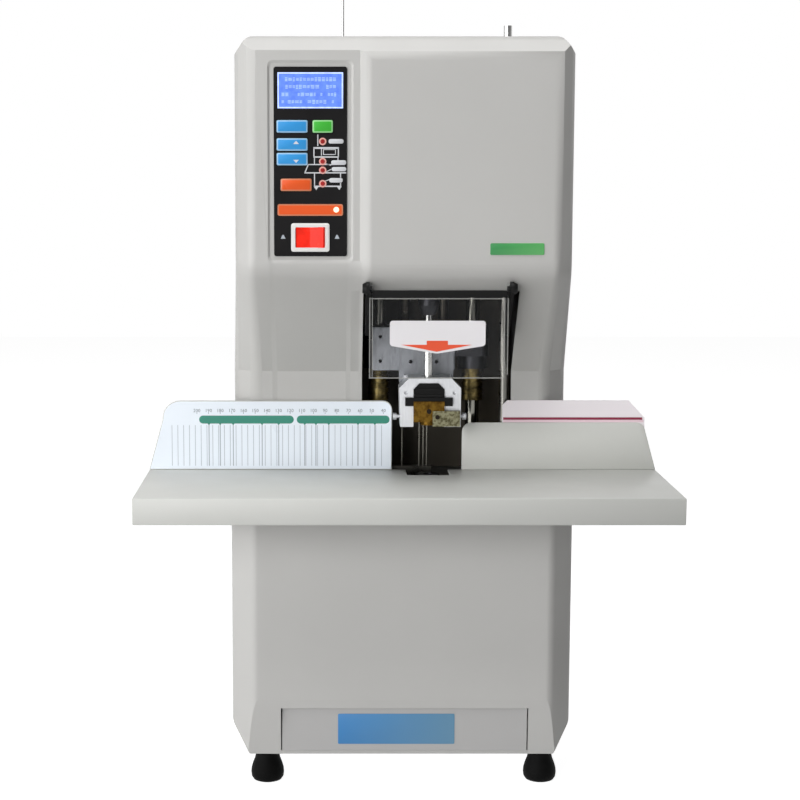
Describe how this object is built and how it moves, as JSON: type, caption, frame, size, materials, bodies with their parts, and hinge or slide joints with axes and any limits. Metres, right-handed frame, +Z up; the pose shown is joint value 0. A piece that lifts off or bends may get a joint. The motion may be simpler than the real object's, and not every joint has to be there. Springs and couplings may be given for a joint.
{
  "type": "document riveting machine",
  "caption": "Upright desk machine that drills a stack of papers and closes the hole with a hot-formed plastic tube; work table, fences, clear guard, key panel and waste drawer.",
  "frame": {"origin": "on the desk, under the middle of the machine's box", "axes": "+X to the operator's right, -Y towards the operator, +Z up"},
  "size_m": [0.436, 0.36, 0.7],
  "materials": {
    "casing_grey": "moulded, fine satin",
    "rear_grey": "satin powder coat",
    "table_grey": "satin powder coat",
    "frame_steel": "ground",
    "bright_steel": "bright",
    "zinc_plate": "yellow zinc",
    "black_steel": "black oxide",
    "black_sheet": "matt black",
    "chrome": "polished",
    "aluminium": "satin",
    "grey_plate": "hard anodised",
    "brass": "machined",
    "bronze": "machined",
    "rubber": "matt",
    "motor_grey": "satin",
    "roller_grey": "matt",
    "scale_white": "satin foil",
    "plate_white": "satin paint",
    "panel_black": "satin overlay",
    "black_plastic": "matt",
    "display_blue": "lit display",
    "switch_white": "gloss",
    "rocker_red": "gloss, translucent",
    "board_green": "satin",
    "clear_acrylic": "clear, polished",
    "key_blue": "satin",
    "key_green": "satin",
    "key_orange": "satin"
  },
  "bodies": {
    "machine": {"base_plate": "frame_steel", "rubber_feet": "rubber", "frame_plates": "frame_steel", "bed_plate": "frame_steel", "top_bridge": "frame_steel", "guide_columns": "chrome", "cavity_liner": "black_sheet", "front_cover": "casing_grey", "lower_cover": "casing_grey", "rear_cover": "rear_grey", "case_screws": "bright_steel", "work_table": "table_grey", "left_fence": "table_grey", "right_fence": "table_grey", "ruler_plate": "scale_white", "limit_plate": "plate_white", "rear_stop": "bright_steel", "anvil": "black_steel", "chip_chute": "table_grey", "control_panel": "panel_black", "display": "display_blue", "power_switch": "switch_white", "panel_board": "board_green", "shield_brackets": "black_sheet", "pivot_screws": "black_plastic", "gear_motors": "motor_grey", "tube_inlet": "bright_steel", "tube_guide": "bright_steel", "feed_motor": "motor_grey", "slim_rod": "bright_steel", "power_supply": "bright_steel", "power_inlet": "black_plastic", "drawer_rails": "bright_steel"},
    "press": {"crosshead": "black_steel", "press_plate": "grey_plate", "press_bushes": "bronze", "press_foot": "aluminium", "foot_insert": "black_plastic", "rivet_head": "brass", "heaters": "bright_steel", "foot_bracket": "zinc_plate"},
    "drill": {"drill_carriage": "frame_steel", "drill_bushes": "bronze", "drill_motor": "motor_grey"},
    "spindle": {"drill_chuck": "black_steel", "drill_bit": "bright_steel"},
    "press_screw": {"press_screw": "bright_steel"},
    "lift_screw": {"lift_screw": "bright_steel"},
    "feed_roller": {"feed_roller": "roller_grey"},
    "pinch_roller": {"pinch_roller": "roller_grey"},
    "shield": {"shield": "clear_acrylic", "shield_bar": "black_plastic"},
    "drawer": {"drawer_tray": "bright_steel", "drawer_front": "casing_grey"},
    "rocker": {"power_rocker": "rocker_red"},
    "start_key": {"start_key": "key_blue"},
    "green_key": {"green_key": "key_green"},
    "up_key": {"up_key": "key_blue"},
    "down_key": {"down_key": "key_blue"},
    "orange_key": {"orange_key": "key_orange"}
  },
  "joints": [
    {"name": "press_slide", "type": "slide", "parent": "machine", "child": "press", "axis": [0, 0, -1], "range_m": [0, 0.038]},
    {"name": "drill_slide", "type": "slide", "parent": "machine", "child": "drill", "axis": [0, 0, -1], "range_m": [0, 0.047]},
    {"name": "drill_spin", "type": "hinge", "parent": "drill", "child": "spindle", "pos_m": [0.021, -0.058, 0.43], "axis": [0, 0, 1], "continuous": true},
    {"name": "press_screw_turn", "type": "hinge", "parent": "machine", "child": "press_screw", "pos_m": [0.004, 0.018, 0.45], "axis": [0, 0, 1], "range_deg": [0, 2740]},
    {"name": "lift_screw_turn", "type": "hinge", "parent": "machine", "child": "lift_screw", "pos_m": [0.038, 0.018, 0.48], "axis": [0, 0, 1], "range_deg": [0, 3390]},
    {"name": "feed_roller_turn", "type": "hinge", "parent": "machine", "child": "feed_roller", "pos_m": [0.077, -0.036, 0.592], "axis": [0, 1, 0], "continuous": true},
    {"name": "pinch_roller_turn", "type": "hinge", "parent": "machine", "child": "pinch_roller", "pos_m": [0.097, -0.036, 0.592], "axis": [0, 1, 0], "continuous": true},
    {"name": "shield_hinge", "type": "hinge", "parent": "machine", "child": "shield", "pos_m": [0.027, -0.111, 0.4205], "axis": [-1, 0, 0], "range_deg": [0, 85]},
    {"name": "drawer_slide", "type": "slide", "parent": "machine", "child": "drawer", "axis": [0, -1, 0], "range_m": [0, 0.15]},
    {"name": "rocker_swing", "type": "hinge", "parent": "machine", "child": "rocker", "pos_m": [-0.07825, -0.1065, 0.46175], "axis": [0, 0, 1], "range_deg": [0, 12]},
    {"name": "start_key_press", "type": "slide", "parent": "machine", "child": "start_key", "axis": [0, 1, 0], "range_m": [0, 0.0006], "stiffness_N_per_m": 500},
    {"name": "green_key_press", "type": "slide", "parent": "machine", "child": "green_key", "axis": [0, 1, 0], "range_m": [0, 0.0006], "stiffness_N_per_m": 500},
    {"name": "up_key_press", "type": "slide", "parent": "machine", "child": "up_key", "axis": [0, 1, 0], "range_m": [0, 0.0006], "stiffness_N_per_m": 500},
    {"name": "down_key_press", "type": "slide", "parent": "machine", "child": "down_key", "axis": [0, 1, 0], "range_m": [0, 0.0006], "stiffness_N_per_m": 500},
    {"name": "orange_key_press", "type": "slide", "parent": "machine", "child": "orange_key", "axis": [0, 1, 0], "range_m": [0, 0.0006], "stiffness_N_per_m": 500}
  ],
  "couplings": [
    {"joint": "press_screw_turn", "follows": "press_slide", "rad_per_m": 1256.6},
    {"joint": "lift_screw_turn", "follows": "drill_slide", "rad_per_m": 1256.6},
    {"joint": "pinch_roller_turn", "follows": "feed_roller_turn", "ratio": -1}
  ]
}
